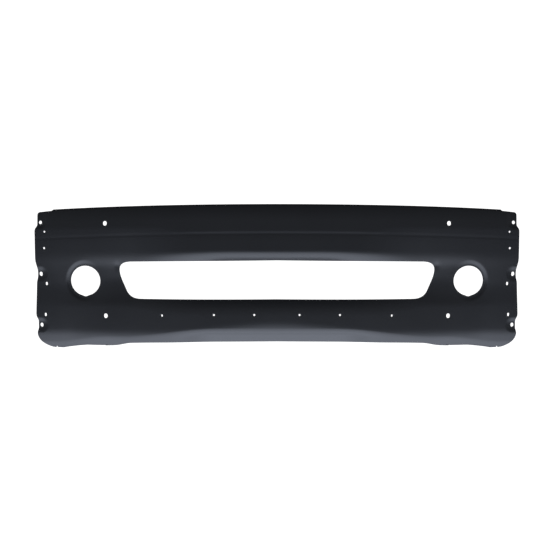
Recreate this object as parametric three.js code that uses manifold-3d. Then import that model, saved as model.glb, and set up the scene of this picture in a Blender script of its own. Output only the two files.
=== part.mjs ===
// Centre section of a heavy truck's front bumper: one pressed steel face panel with the weld nuts, washers,
// stiffener and mounting brackets that sit behind it.
//
// Millimetres, +X to the viewer's right when facing the bumper, +Y rearwards into the truck, +Z up.
// The pieces are built with y = 0 at the foremost plane of the face, then moved back as one group,
// so that the origin is midway between the rear faces of the two chassis plates.

import * as THREE from "three";
import { mergeVertices } from "three/addons/utils/BufferGeometryUtils.js";
import Module from "manifold-3d";

const wasm = await Module();
wasm.setup();

const { clamp, degToRad, lerp } = THREE.MathUtils;

// ---------- driving dimensions ----------

const SHEET = 3; // face panel steel
const GAP = 1.2; // between touching pieces
const HALF_WIDTH = 920;
const WRAP = 126.3; // how far the ends sweep back in plan
const TOP_EDGE = { height: 268.8, sag: [9, 3.2], span: 838 }; // sag grows with the 2nd and 4th power
const TOP_BEND = 8; // outer radius of the top bend
const FLANGE = { depth: 35, half: 843 }; // top return flange, which stops short of the end tabs
const LEAN = { from: 208, rate: 0.0018, angle: degToRad(10.5) }; // the band curls back to the top bend
const LOWEST = -272; // the sheet is pressed down to here, then trimmed to its outline

const CREASE = { height: 160, drop: 13, span: 880, lip: 12, width: 14, groove: 0.45, grooveWidth: 10 };
const UNDERCUT = { round: 22, restRound: 55 };
const DEEP_TROUGH = { depth: 55, halfLength: 400, sharpness: 8, corner: 3 };
const BELLY = { slope: 0.19, round: 45 };

// How the section of the face changes along the panel: the value at the centre line, then each smooth
// change as [amount, from, to], where from and to are distances from the centre line.
const SECTION = {
  creaseStep: [1.7, [-1.3, 300, 430]], // how far the upper band stands proud
  undercutStart: [150, [45, 250, 450]],
  undercutSlope: [0.035, [0.095, 250, 550], [0.02, 650, 800]],
  undercutRest: [0, [0.06, 550, 800]],
  undercutRestFrom: [-10, [22, 470, 590], [-22, 680, 780]],
  troughTop: [104.5, [-1.5, 150, 530]],
  upperWallHeight: [42, [10, 150, 530]],
  upperWallSlope: [1.05, [-0.88, 150, 530], [-0.09, 680, 790]],
  troughReach: [6, [-1.5, 450, 560], [-1.5, 650, 790]],
  troughBottom: [-147, [32, 350, 610]],
  lowerWallHeight: [80, [-52, 350, 610]],
  lowerWallSlope: [0.4, [-0.24, 250, 600], [-0.11, 720, 850]],
  bellyStart: [-150, [-35, 0, 450]],
  rollStart: [-183, [-33, 220, 595], [-22, 620, 860]],
  rollHeight: [32, [-8, 200, 450]],
  rollSlope: [1.35, [-0.85, 230, 430]],
};

const LAMP = { x: 720.5, z: -12, halfWidth: 58.4, halfHeight: 55.8, key: 3 };
const DISH = { rim: 60.5, wall: 19, depth: 2.2, tip: 2.4 }; // shallow seat pressed round each lamp hole
const DENT = { x: 594, z: 44, width: 12, depth: 1.6 }; // beside each upper corner of the opening
const TAB = { depth: 3.8, radius: 9, ramp: 22 };
const MOUNT_DEPTH = 235; // rear faces of the chassis plates, behind the foremost plane

// Holes on one side of the panel; each has its mirror image on the other side.
const BOLT_HOLES = [
  { x: 638.5, z: 200.9, radius: 7.4, length: 17 },
  { x: 640.2, z: -143, radius: 7.4, length: 17 },
];
const SKIRT_HOLES = [
  { x: 83, z: -137, radius: 4.5 },
  { x: 231.5, z: -137.5, radius: 4.5 },
  { x: 426.7, z: -140.8, radius: 5.3 },
];
const TAB_HOLES = [
  { x: 893.4, z: 208, radius: 6.2, length: 13 },
  { x: 898.6, z: 13.6, radius: 6.2, length: 17 },
  { x: 898.8, z: -180.4, radius: 6.2, length: 15.5 },
];
const CAP_HOLE = { x: 880.6, z: 110.8, radius: 4 };
const LOCATING_HOLE = { x: 877, z: 172.2, radius: 3.5 };
const END_SLOTS = [
  { x: 875.6, z: -23.1, radius: 4.1, length: 12.6 },
  { x: 881.4, z: -140.9, radius: 4.1, length: 12.6 },
];

const BRACKET = {
  web: [616, 622], // the web plate, across
  outer: 676, // outboard limit of feet and chassis plate
  plate: 5,
  upperFoot: [172, 232],
  lowerFoot: [-166, -116],
  holeClearance: 2.2, // all round the panel's bolt slots
  toe: 6, // the web runs this far back from a foot before it curves away
  heel: { upper: 26, lower: 14 }, // and this far at the far end of each foot
  relief: 42, // the web stands this far behind the face between the feet
  reliefBends: [130, 60, -80],
  window: { y: 172, z: 6, radius: 24 }, // lightening hole in the web
  topOfPlate: 95,
};
// Underside foot, just below the face's lower edge; its tongue shows under the notch in that edge.
const SILL = {
  top: -253.9,
  thickness: 5,
  front: 172,
  rear: 206,
  rise: 22,
  tongue: { inner: 634, outer: 652, front: 156 },
  shoulder: 10,
  bolt: { behind: 14, radius: 6.5 },
};
const CHASSIS_PLATE = { thickness: 8, chamfer: 12, slotX: 655, slotZ: 62, slotRadius: 6.5, slotLength: 24 };
const STIFFENER = { halfLength: 606, thickness: 2.5, depth: 28, low: 168, high: 244, brim: 16, slant: 7 };
const M8_NUT = { bore: 3.5, acrossFlats: 14, height: 7, flange: 11, brim: 1.8 };
const M10_NUT = { bore: 4.3, acrossFlats: 17, height: 8, flange: 12, brim: 1.8 };
const SKIRT_NUTS = [M8_NUT, M8_NUT, M10_NUT]; // from the centre outwards
const WASHER = { bore: 8.6, outer: 11.4, thickness: 3 }; // welded round each of the corner cap's holes

const E_COAT = { color: 0x17191c, roughness: 0.35, metalness: 0.1 };

// ---------- the shape of the face ----------

// A smooth step from 0 to 1, flat at both ends.
const ease = (t) => (1 - Math.cos(Math.PI * clamp(t, 0, 1))) / 2;
// The smaller of two values, with the corner between them rounded over.
const softMin = (a, b, round) => (a + b - Math.hypot(a - b, round)) / 2;

// A value of the section at distance `a` from the centre line.
function along(name, a) {
  const [centre, ...changes] = SECTION[name];
  const changed = ([amount, from, to]) => amount * ease((a - from) / (to - from));
  return changes.reduce((value, change) => value + changed(change), centre);
}

// Depth of a surface that turns from upright to a slope of one while it drops by `width`.
function bend(drop, width) {
  const t = clamp(drop / width, 0, 1);
  return width * (t ** 3 - t ** 4 / 2) + Math.max(0, drop - width);
}

function topHeight(a) {
  const [square, fourth] = TOP_EDGE.sag;
  return TOP_EDGE.height - square * (a / TOP_EDGE.span) ** 2 - fourth * (a / TOP_EDGE.span) ** 4;
}

const bandTop = (a) => topHeight(a) - TOP_BEND * (1 - Math.sin(LEAN.angle));
const creaseHeight = (a) => CREASE.height - CREASE.drop * (a / CREASE.span) ** 2;

// A small step that fades towards the ends, with a shallow groove along its foot.
function creaseDepth(a, z) {
  const below = creaseHeight(a) - z;
  const step = along("creaseStep", a) * ease((below + CREASE.lip) / CREASE.width);
  return step - CREASE.groove * ease((below + 1) / CREASE.grooveWidth);
}

// The middle of the face leans in below, more so at the ends, and is nearly upright again lower down.
function undercutDepth(a, z) {
  const slope = along("undercutSlope", a);
  const leaning = slope * bend(along("undercutStart", a) - z, UNDERCUT.round);
  const back = bend(along("undercutRestFrom", a) - z, UNDERCUT.restRound);
  return leaning - (slope - along("undercutRest", a)) * back;
}

// The long trough that holds the opening and the lamps: deep at the centre, shallow at the ends.
function troughDepth(a, z) {
  const { depth, halfLength, sharpness, corner } = DEEP_TROUGH;
  const upper = along("upperWallSlope", a) * bend(along("troughTop", a) - z, along("upperWallHeight", a));
  const lower = along("lowerWallSlope", a) * bend(z - along("troughBottom", a), along("lowerWallHeight", a));
  const reach = along("troughReach", a) + depth / (1 + (a / halfLength) ** sharpness);
  return softMin(softMin(upper, lower, corner), reach, corner);
}

// The seat round each lamp hole, deeper on its outboard side.
function dishDepth(a, z) {
  const r = Math.hypot(a - LAMP.x, z - LAMP.z);
  const depth = DISH.depth + (DISH.tip * (a - LAMP.x)) / DISH.rim;
  return depth * ease((DISH.rim + DISH.wall - r) / DISH.wall);
}

// The soft dent beside each upper corner of the opening, where the deep trough runs out.
function dentDepth(a, z) {
  const away = Math.hypot(a - DENT.x, z - DENT.z) / DENT.width;
  return DENT.depth / Math.exp(away ** 2);
}

// The face rounds gently near its foot, then the lower edge rolls under.
function rollDepth(a, z) {
  const belly = BELLY.slope * bend(along("bellyStart", a) - z, BELLY.round);
  return belly + along("rollSlope", a) * bend(along("rollStart", a) - z, along("rollHeight", a));
}

// Three tabs at each end step back, so that the corner cap lies flush over them.
function tabDepth(a, z) {
  const [top, middle, bottom] = TAB_HOLES;
  const reach = (hole, dz) => Math.hypot(Math.max(0, hole.x - a), dz);
  const nearest = Math.min(
    reach(top, Math.max(0, top.z - z)),
    reach(middle, middle.z - z),
    reach(bottom, bottom.z - z),
  );
  return TAB.depth * ease((TAB.radius + TAB.ramp - nearest) / TAB.ramp);
}

// Depth of the outer surface behind the foremost plane.
function faceDepth(x, z) {
  const a = Math.abs(x);
  const plan = WRAP * (a / HALF_WIDTH) ** 2;
  const lean = LEAN.rate * Math.max(0, z - LEAN.from) ** 2;
  const hollow = troughDepth(a, z) + dishDepth(a, z) + dentDepth(a, z);
  return plan + lean + undercutDepth(a, z) + creaseDepth(a, z) + hollow + rollDepth(a, z) + tabDepth(a, z);
}

const facePoint = (x, z) => new THREE.Vector3(x, faceDepth(x, z), z);

// Unit normal of the face at a point, pointing rearwards.
function faceNormal(x, z) {
  const step = 1;
  const dx = (faceDepth(x + step, z) - faceDepth(x - step, z)) / (2 * step);
  const dz = (faceDepth(x, z + step) - faceDepth(x, z - step)) / (2 * step);
  return new THREE.Vector3(-dx, 1, -dz).normalize();
}

// ---------- solids ----------

function toSolid(geometry) {
  const bare = geometry.clone();
  bare.deleteAttribute("normal");
  bare.deleteAttribute("uv");
  const merged = mergeVertices(bare, 1e-4);
  const vertProperties = Float32Array.from(merged.attributes.position.array);
  const triVerts = Uint32Array.from(merged.index.array);
  return new wasm.Manifold(new wasm.Mesh({ numProp: 3, vertProperties, triVerts }));
}

function toGeometry(solid) {
  const mesh = solid.getMesh();
  const geometry = new THREE.BufferGeometry();
  geometry.setAttribute("position", new THREE.BufferAttribute(mesh.vertProperties, 3));
  geometry.setIndex(new THREE.BufferAttribute(mesh.triVerts, 1));
  geometry.computeVertexNormals();
  return geometry;
}

function indexed(points, triangles) {
  const geometry = new THREE.BufferGeometry();
  geometry.setAttribute("position", new THREE.Float32BufferAttribute(points.flatMap((p) => p.toArray()), 3));
  geometry.setIndex(triangles);
  geometry.computeVertexNormals();
  return geometry;
}

// A closed sheet: rows of points on its outer side, thickened inwards by `thickness`.
// columns[i][j] runs left to right with i and downwards with j.
function sheet(columns, thickness) {
  const across = columns.length;
  const down = columns[0].length;
  const at = (i, j) => columns[clamp(i, 0, across - 1)][clamp(j, 0, down - 1)];
  const outer = columns.flat();
  const inner = outer.map((point, k) => {
    const i = Math.floor(k / down);
    const j = k % down;
    const along = at(i + 1, j).clone().sub(at(i - 1, j));
    const below = at(i, j + 1).clone().sub(at(i, j - 1));
    return point.clone().addScaledVector(along.cross(below).normalize(), thickness);
  });
  const back = outer.length;
  const triangles = [];
  const quad = (a, b, c, d) => triangles.push(a, b, c, a, c, d);
  const id = (i, j) => i * down + j;
  for (let i = 0; i < across - 1; i++) {
    for (let j = 0; j < down - 1; j++) {
      quad(id(i, j), id(i, j + 1), id(i + 1, j + 1), id(i + 1, j));
      quad(back + id(i, j), back + id(i + 1, j), back + id(i + 1, j + 1), back + id(i, j + 1));
    }
    quad(id(i, 0), id(i + 1, 0), back + id(i + 1, 0), back + id(i, 0));
    quad(id(i + 1, down - 1), id(i, down - 1), back + id(i, down - 1), back + id(i + 1, down - 1));
  }
  for (let j = 0; j < down - 1; j++) {
    quad(id(0, j + 1), id(0, j), back + id(0, j), back + id(0, j + 1));
    quad(id(across - 1, j), id(across - 1, j + 1), back + id(across - 1, j + 1), back + id(across - 1, j));
  }
  return indexed([...outer, ...inner], triangles);
}

// A prism that stands on an outline drawn in x and z, and runs from y = front to y = rear.
function prismAlongY(shape, front, rear, curveSegments = 6) {
  const geometry = new THREE.ExtrudeGeometry(shape, {
    depth: rear - front,
    bevelEnabled: false,
    curveSegments,
  });
  return geometry.rotateX(Math.PI / 2).translate(0, rear, 0);
}

// A plate drawn in y and z, and running from x = left to x = right.
function plateAlongX(shape, left, right, curveSegments = 8) {
  const geometry = new THREE.ExtrudeGeometry(shape, {
    depth: right - left,
    bevelEnabled: false,
    curveSegments,
  });
  return geometry.rotateY(Math.PI / 2).rotateX(Math.PI / 2).translate(left, 0, 0);
}

// Evenly spaced values from each stop to the next; counts[i] steps between stops i and i + 1.
function spaced(stops, counts) {
  const values = [stops[0]];
  counts.forEach((count, i) => {
    for (let k = 1; k <= count; k++) values.push(stops[i] + ((stops[i + 1] - stops[i]) * k) / count);
  });
  return values;
}

const mirrored = (values) => [...values.slice(1).reverse().map((v) => -v), ...values];

// ---------- face panel ----------

// Right half of the outer outline, from the centre of the top edge round to the centre of the bottom.
function outlineHalf() {
  const path = new THREE.Path();
  const above = TOP_EDGE.height + 20;
  path.moveTo(0, above);
  path.lineTo(FLANGE.half, above);
  path.lineTo(FLANGE.half, 260);
  path.bezierCurveTo(FLANGE.half, 254, FLANGE.half + 3, 251.5, FLANGE.half + 8, 251);
  path.lineTo(894, 247.6);
  path.bezierCurveTo(902, 247.3, 906.2, 243, 906.2, 236);
  path.lineTo(906, 203);
  path.bezierCurveTo(906, 190, 917, 190, 917, 172);
  path.lineTo(919, 74);
  path.bezierCurveTo(919, 50, 910.4, 44, 910.4, 18);
  path.bezierCurveTo(910.4, -4, 915.6, -10, 916, -28);
  path.lineTo(HALF_WIDTH, -137);
  path.bezierCurveTo(HALF_WIDTH, -155, 911.2, -153, 911.2, -169);
  path.lineTo(911.2, -187);
  path.bezierCurveTo(911.2, -199, 916, -202, 915.8, -213);
  path.bezierCurveTo(914, -241, 886, -257, 858, -265.4);
  path.lineTo(845, -266.8);
  path.lineTo(841, -261.6);
  path.lineTo(838, -266.6);
  path.lineTo(814, -267.4);
  path.bezierCurveTo(795, -263, 750, -257.5, 718, -255);
  path.lineTo(SILL.tongue.outer, -255.2);
  path.lineTo(SILL.tongue.outer - 3, -252.7);
  path.lineTo(SILL.tongue.inner + 3, -252.7);
  path.lineTo(SILL.tongue.inner, -255.4);
  path.bezierCurveTo(590, -256, 578, -247.5, 545, -244.8);
  path.bezierCurveTo(376, -240.5, 178, -239.5, 0, -238.2);
  return path.getPoints(5);
}

// Right half of the central opening, from the middle of its top edge to the middle of its bottom.
function openingHalf() {
  const path = new THREE.Path();
  path.moveTo(0, 62.4);
  path.bezierCurveTo(190, 60, 379, 59.4, 545, 58.6);
  path.bezierCurveTo(572, 57.4, 586.6, 48, 586.6, 30);
  path.bezierCurveTo(586.6, 4, 572, -20, 559, -50);
  path.bezierCurveTo(549, -68, 533, -79, 502, -79);
  path.bezierCurveTo(380, -80.6, 190, -80.8, 0, -79.2);
  return path.getPoints(6);
}

// The half outline joined to its mirror image, in anticlockwise order.
function bothHalves(half) {
  const left = half.slice(1, -1).map((p) => new THREE.Vector2(-p.x, p.y));
  return [...left, ...half.slice().reverse()];
}

function roundHole(x, z, radius, divisions) {
  const turn = (k) => (2 * Math.PI * (k + 0.5)) / divisions;
  return Array.from({ length: divisions }, (_, k) => {
    return new THREE.Vector2(x + radius * Math.cos(turn(k)), z + radius * Math.sin(turn(k)));
  });
}

// An upright slot; `length` is end to end.
function slotHole(x, z, radius, length) {
  const lift = length / 2 - radius;
  return roundHole(x, z, radius, 12).map((p) => new THREE.Vector2(p.x, p.y + (p.y > z ? lift : -lift)));
}

// The lamp hole, with the small vee at its foot that keys the lamp.
function lampHole(x) {
  const ring = roundHole(0, 0, 1, 38).map((p) => {
    return new THREE.Vector2(x + LAMP.halfWidth * p.x, LAMP.z + LAMP.halfHeight * p.y);
  });
  const lowest = ring.reduce((best, p, k) => (p.y < ring[best].y ? k : best), 0);
  ring[lowest].y -= LAMP.key;
  return ring;
}

function holesOnSide(side) {
  const slots = [...BOLT_HOLES, ...TAB_HOLES, ...END_SLOTS].map((h) => {
    return slotHole(side * h.x, h.z, h.radius, h.length);
  });
  const round = [...SKIRT_HOLES, CAP_HOLE, LOCATING_HOLE].map((h) => {
    return roundHole(side * h.x, h.z, h.radius, 12);
  });
  return [...slots, ...round, lampHole(side * LAMP.x)];
}

// Heights of the points down the face. Towards the ends they move to the edges of the tabs' ramps.
function faceHeights(a) {
  const [topTab, middleTab, bottomTab] = TAB_HOLES;
  const reach = TAB.radius + TAB.ramp;
  const edges = (hole) => [reach, TAB.radius, 0, -TAB.radius, -reach].map((offset) => hole.z + offset);
  const wallTop = along("troughTop", a);
  const wallFoot = wallTop - along("upperWallHeight", a);
  const bottom = along("troughBottom", a);
  const lowerWallTop = bottom + along("lowerWallHeight", a);
  const rollStart = along("rollStart", a);
  const rollEnd = rollStart - along("rollHeight", a);
  const plainStops = [wallTop, wallFoot, lowerWallTop, bottom, rollStart, rollEnd, LOWEST];
  const plain = spaced(plainStops, [6, 3, 4, 3, 3, 1]);
  const tabbedStops = [wallTop, ...edges(middleTab), ...edges(bottomTab), LOWEST];
  const tabbed = spaced(tabbedStops, [3, 1, 1, 1, 1, 7, 1, 1, 1, 1, 2]);
  const towardsEnd = ease((a - 820) / 45);
  const lower = plain.map((z, j) => lerp(z, tabbed[j], towardsEnd));
  const creaseTop = creaseHeight(a) + CREASE.lip;
  const creaseFoot = creaseHeight(a) + 1 - CREASE.grooveWidth;
  const bandStops = [bandTop(a), LEAN.from, topTab.z - TAB.radius, topTab.z - reach];
  return [...spaced([...bandStops, creaseTop, creaseFoot, wallTop], [2, 1, 1, 1, 3, 2]), ...lower.slice(1)];
}

// One vertical line of points down the outer surface, from the rear of the top flange to below the roll.
function faceColumn(x) {
  const a = Math.abs(x);
  const centreY = faceDepth(x, bandTop(a)) + TOP_BEND * Math.cos(LEAN.angle);
  const centreZ = topHeight(a) - TOP_BEND;
  const bendPoints = [90, 64, 37].map((degrees) => {
    const angle = degToRad(degrees);
    return new THREE.Vector3(x, centreY - TOP_BEND * Math.cos(angle), centreZ + TOP_BEND * Math.sin(angle));
  });
  const flangeEnd = new THREE.Vector3(x, centreY + FLANGE.depth - TOP_BEND, topHeight(a));
  return [flangeEnd, ...bendPoints, ...faceHeights(a).map((z) => facePoint(x, z))];
}

function facePanel() {
  const stops = [0, 300, 520, 640, 800, 866, 888, HALF_WIDTH + 4];
  const stations = mirrored(spaced(stops, [4, 5, 3, 7, 3, 2, 2]));
  const pressed = toSolid(sheet(stations.map(faceColumn), SHEET));
  const outline = new THREE.Shape(bothHalves(outlineHalf()));
  outline.holes.push(new THREE.Path(bothHalves(openingHalf())));
  for (const side of [-1, 1]) {
    for (const hole of holesOnSide(side)) outline.holes.push(new THREE.Path(hole));
  }
  const die = toSolid(prismAlongY(outline, -60, 420));
  return toGeometry(pressed.intersect(die));
}

// ---------- pieces behind the face ----------

// A point behind the panel: `offset` beyond the panel's rear surface.
function behindFace(x, z, offset) {
  return facePoint(x, z).addScaledVector(faceNormal(x, z), SHEET + offset);
}

// Hat section that stiffens the upper band between the brackets.
function upperStiffener() {
  const { halfLength, thickness, depth, low, high, brim, slant } = STIFFENER;
  const heights = [high, high - brim, high - brim - slant, low + brim + slant, low + brim, low];
  const offsets = [0, 0, depth, depth, 0, 0];
  const stations = mirrored(spaced([0, halfLength], [9]));
  const columns = stations.map((x) => heights.map((z, j) => behindFace(x, z, GAP + offsets[j])));
  return sheet(columns, thickness);
}

// A foot that lies against the back of the panel around one of the large bolt holes.
function bracketFoot([low, high], hole) {
  const { web, outer, plate, holeClearance } = BRACKET;
  const stations = spaced([web[0] + 1, outer], [4]);
  const heights = spaced([high, low], [3]);
  const columns = stations.map((x) => heights.map((z) => behindFace(x, z, GAP)));
  const foot = toSolid(sheet(columns, plate));
  const slot = slotHole(hole.x, hole.z, hole.radius + holeClearance, hole.length + 2 * holeClearance);
  return foot.subtract(toSolid(prismAlongY(new THREE.Shape(slot), 0, 200)));
}

// The web's outline in y and z: against the two feet in front, up to the chassis plate behind.
function webOutline() {
  const { web, plate, upperFoot, lowerFoot, toe, heel, relief, reliefBends, topOfPlate, window } = BRACKET;
  const rear = MOUNT_DEPTH - CHASSIS_PLATE.thickness - GAP;
  const seat = (z) => faceDepth(web[0], z) + SHEET + GAP + plate / 2 + 1;
  const reliefY = faceDepth(web[1], 0) + relief;
  const [reliefTop, reliefMiddle, reliefLow] = reliefBends;
  const outline = new THREE.Shape();
  outline.moveTo(seat(upperFoot[1]), upperFoot[1]);
  outline.lineTo(seat(upperFoot[0]), upperFoot[0]);
  outline.lineTo(seat(upperFoot[0]) + toe, upperFoot[0]);
  outline.quadraticCurveTo(reliefY, reliefTop, reliefY, reliefMiddle);
  outline.quadraticCurveTo(reliefY, reliefLow, seat(lowerFoot[1]) + toe, lowerFoot[1]);
  outline.lineTo(seat(lowerFoot[1]), lowerFoot[1]);
  outline.lineTo(seat(lowerFoot[0]), lowerFoot[0]);
  outline.lineTo(seat(lowerFoot[0]) + heel.lower, lowerFoot[0]);
  outline.lineTo(SILL.front, SILL.top + SILL.rise);
  outline.lineTo(SILL.front, SILL.top - 1);
  outline.lineTo(SILL.rear, SILL.top - 1);
  outline.lineTo(rear, -topOfPlate);
  outline.lineTo(rear, topOfPlate);
  outline.lineTo(seat(upperFoot[1]) + heel.upper, upperFoot[1]);
  outline.holes.push(new THREE.Path(roundHole(window.y, window.z, window.radius, 20)));
  return outline;
}

// The underside foot that carries the skirt, with its own upright bolt hole.
function bracketSill() {
  const { top, thickness, front, rear, tongue, shoulder, bolt } = SILL;
  const outline = new THREE.Shape();
  outline.moveTo(BRACKET.web[0], rear);
  outline.lineTo(BRACKET.web[0], front);
  outline.lineTo(tongue.inner, front);
  outline.lineTo(tongue.inner, tongue.front);
  outline.lineTo(tongue.outer, tongue.front);
  outline.lineTo(tongue.outer + shoulder, front + shoulder / 2);
  outline.lineTo(tongue.outer + shoulder, rear);
  const boltX = (tongue.inner + tongue.outer) / 2;
  outline.holes.push(new THREE.Path(roundHole(boltX, front + bolt.behind, bolt.radius, 12)));
  const plate = new THREE.ExtrudeGeometry(outline, { depth: thickness, bevelEnabled: false });
  return toSolid(plate.translate(0, 0, top - thickness));
}

// The right-hand mounting bracket: web, two feet against the panel and the underside foot.
function mountBracket() {
  const [inner, outer] = BRACKET.web;
  const web = toSolid(plateAlongX(webOutline(), inner, outer));
  const upper = bracketFoot(BRACKET.upperFoot, BOLT_HOLES[0]);
  const lower = bracketFoot(BRACKET.lowerFoot, BOLT_HOLES[1]);
  return web.add(upper).add(lower).add(bracketSill());
}

// The right-hand chassis plate, which bolts to the end of the frame rail through two slots.
function chassisPlate() {
  const { thickness, chamfer, slotX, slotZ, slotRadius, slotLength } = CHASSIS_PLATE;
  const { web, outer, topOfPlate } = BRACKET;
  const outline = new THREE.Shape();
  outline.moveTo(web[0], topOfPlate);
  outline.lineTo(web[0], -topOfPlate);
  outline.lineTo(outer - chamfer, -topOfPlate);
  outline.lineTo(outer, -topOfPlate + chamfer);
  outline.lineTo(outer, topOfPlate - chamfer);
  outline.lineTo(outer - chamfer, topOfPlate);
  for (const z of [-slotZ, slotZ]) {
    outline.holes.push(new THREE.Path(slotHole(slotX, z, slotRadius, slotLength)));
  }
  return toSolid(prismAlongY(outline, MOUNT_DEPTH - thickness, MOUNT_DEPTH));
}

// A hexagonal weld nut on a round flange, its axis along +y and its flange face at y = 0.
function weldNut({ bore, acrossFlats, height, flange, brim }) {
  const divisions = 12;
  const hexagon = new THREE.Shape(roundHole(0, 0, acrossFlats / Math.sqrt(3), 6));
  hexagon.holes.push(new THREE.Path(roundHole(0, 0, bore, divisions)));
  const disc = new THREE.Shape(roundHole(0, 0, flange, divisions));
  disc.holes.push(new THREE.Path(roundHole(0, 0, bore, divisions)));
  const body = toSolid(prismAlongY(hexagon, brim / 2, height));
  return toGeometry(body.add(toSolid(prismAlongY(disc, 0, brim))));
}

// A round washer, its axis along +y and its front face at y = 0.
function weldWasher({ bore, outer, thickness }) {
  const ring = new THREE.Shape(roundHole(0, 0, outer, 16));
  ring.holes.push(new THREE.Path(roundHole(0, 0, bore, 16)));
  return toGeometry(toSolid(prismAlongY(ring, 0, thickness)));
}

// ---------- assembly ----------

const truckBumper = new THREE.Group();
truckBumper.position.set(0, -MOUNT_DEPTH, 0);

function place(name, geometry) {
  const mesh = new THREE.Mesh(geometry, new THREE.MeshStandardMaterial(E_COAT));
  mesh.name = name;
  truckBumper.add(mesh);
  return mesh;
}

// Seats a nut or washer on the back of the panel, square to it, behind a hole.
function seatBehind(hole, side, name, geometry) {
  const fixing = place(name, geometry);
  const x = side * hole.x;
  fixing.position.copy(behindFace(x, hole.z, GAP));
  fixing.quaternion.setFromUnitVectors(new THREE.Vector3(0, 1, 0), faceNormal(x, hole.z));
}

place("face_panel", facePanel());
place("upper_stiffener", upperStiffener());

for (const [side, sideName] of [[-1, "left"], [1, "right"]]) {
  const handed = (solid) => toGeometry(side > 0 ? solid : solid.mirror([1, 0, 0]));
  place(`mount_bracket_${sideName}`, handed(mountBracket()));
  place(`chassis_plate_${sideName}`, handed(chassisPlate()));
  SKIRT_HOLES.forEach((hole, i) => {
    const name = `skirt_nut_${sideName}_${["inner", "middle", "outer"][i]}`;
    seatBehind(hole, side, name, weldNut(SKIRT_NUTS[i]));
  });
  TAB_HOLES.forEach((hole, i) => {
    const name = `tab_washer_${sideName}_${["top", "middle", "bottom"][i]}`;
    seatBehind(hole, side, name, weldWasher(WASHER));
  });
  seatBehind(CAP_HOLE, side, `cap_washer_${sideName}`, weldWasher(WASHER));
}

export default truckBumper;
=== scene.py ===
"""Looks of the truck bumper's centre section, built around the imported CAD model.

Every piece is rebuilt here as a fine mesh from the same sizes and formulas as its CAD piece. Those are in
millimetres, with y = 0 at the foremost plane; everything put in the scene is in metres.
"""

import math

import bpy
import numpy as np
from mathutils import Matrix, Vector
from mathutils.geometry import delaunay_2d_cdt
from mathutils.kdtree import KDTree


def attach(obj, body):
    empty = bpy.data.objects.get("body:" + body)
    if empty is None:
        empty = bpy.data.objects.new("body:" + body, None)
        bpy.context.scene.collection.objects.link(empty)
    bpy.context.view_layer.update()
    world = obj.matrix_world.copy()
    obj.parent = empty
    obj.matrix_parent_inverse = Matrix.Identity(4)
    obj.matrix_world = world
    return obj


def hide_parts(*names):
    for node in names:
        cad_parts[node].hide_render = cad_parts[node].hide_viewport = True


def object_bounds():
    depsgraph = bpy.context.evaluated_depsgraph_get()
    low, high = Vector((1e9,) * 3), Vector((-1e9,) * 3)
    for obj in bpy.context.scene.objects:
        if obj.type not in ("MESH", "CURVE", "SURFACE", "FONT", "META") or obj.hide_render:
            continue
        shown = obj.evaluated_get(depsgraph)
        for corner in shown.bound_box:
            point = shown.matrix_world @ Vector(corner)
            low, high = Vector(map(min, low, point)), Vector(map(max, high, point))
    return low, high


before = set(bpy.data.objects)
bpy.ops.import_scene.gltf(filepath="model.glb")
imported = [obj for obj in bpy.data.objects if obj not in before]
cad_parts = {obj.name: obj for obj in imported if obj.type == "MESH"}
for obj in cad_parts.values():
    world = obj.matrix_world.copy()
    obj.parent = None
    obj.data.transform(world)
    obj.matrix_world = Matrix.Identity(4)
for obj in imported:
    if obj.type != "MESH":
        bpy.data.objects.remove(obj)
cad_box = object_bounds()

MM = 0.001
BODY = "root"

# ---------- sizes, in millimetres ----------

SHEET = 3.0  # face panel steel
GAP = 1.2  # between touching pieces
EDGE_ROUND = 0.7  # on every cut edge
HALF_WIDTH = 920.0
WRAP = 126.3  # how far the ends sweep back in plan
TOP_EDGE, TOP_SAG, TOP_SPAN = 268.8, (9.0, 3.2), 838.0
TOP_BEND = 8.0
FLANGE_DEPTH, FLANGE_HALF = 35.0, 843.0
LEAN_FROM, LEAN, LEAN_ANGLE = 208.0, 0.0018, math.radians(10.5)
LOWEST = -272.0  # the mesh rows run down to here, before the outline trims them
MOUNT_DEPTH = 235.0  # rear faces of the chassis plates, behind the foremost plane

CREASE = dict(height=160, drop=13, span=880, lip=12, width=14, groove=0.45, groove_width=10)
UNDERCUT = dict(round=22, rest_round=55)
DEEP_TROUGH = dict(depth=55, half_length=400, sharpness=8, corner=3)
BELLY = dict(slope=0.19, round=45)

# How the section of the face changes along the panel: the value at the centre line, then each smooth
# change as (amount, from, to), where from and to are distances from the centre line.
SECTION = {
    "crease_step": (1.7, (-1.3, 300, 430)),
    "undercut_start": (150, (45, 250, 450)),
    "undercut_slope": (0.035, (0.095, 250, 550), (0.02, 650, 800)),
    "undercut_rest": (0, (0.06, 550, 800)),
    "undercut_rest_from": (-10, (22, 470, 590), (-22, 680, 780)),
    "trough_top": (104.5, (-1.5, 150, 530)),
    "upper_wall_height": (42, (10, 150, 530)),
    "upper_wall_slope": (1.05, (-0.88, 150, 530), (-0.09, 680, 790)),
    "trough_reach": (6, (-1.5, 450, 560), (-1.5, 650, 790)),
    "trough_bottom": (-147, (32, 350, 610)),
    "lower_wall_height": (80, (-52, 350, 610)),
    "lower_wall_slope": (0.4, (-0.24, 250, 600), (-0.11, 720, 850)),
    "belly_start": (-150, (-35, 0, 450)),
    "roll_start": (-183, (-33, 220, 595), (-22, 620, 860)),
    "roll_height": (32, (-8, 200, 450)),
    "roll_slope": (1.35, (-0.85, 230, 430)),
}

LAMP = dict(x=720.5, z=-12.0, half_width=58.4, half_height=55.8, key=3.0, key_spread=math.radians(14))
DISH = dict(rim=60.5, wall=19.0, depth=2.2, tip=2.4)
DENT = dict(x=594.0, z=44.0, width=12.0, depth=1.6)
TAB = dict(depth=3.8, radius=9.0, ramp=22.0)

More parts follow.
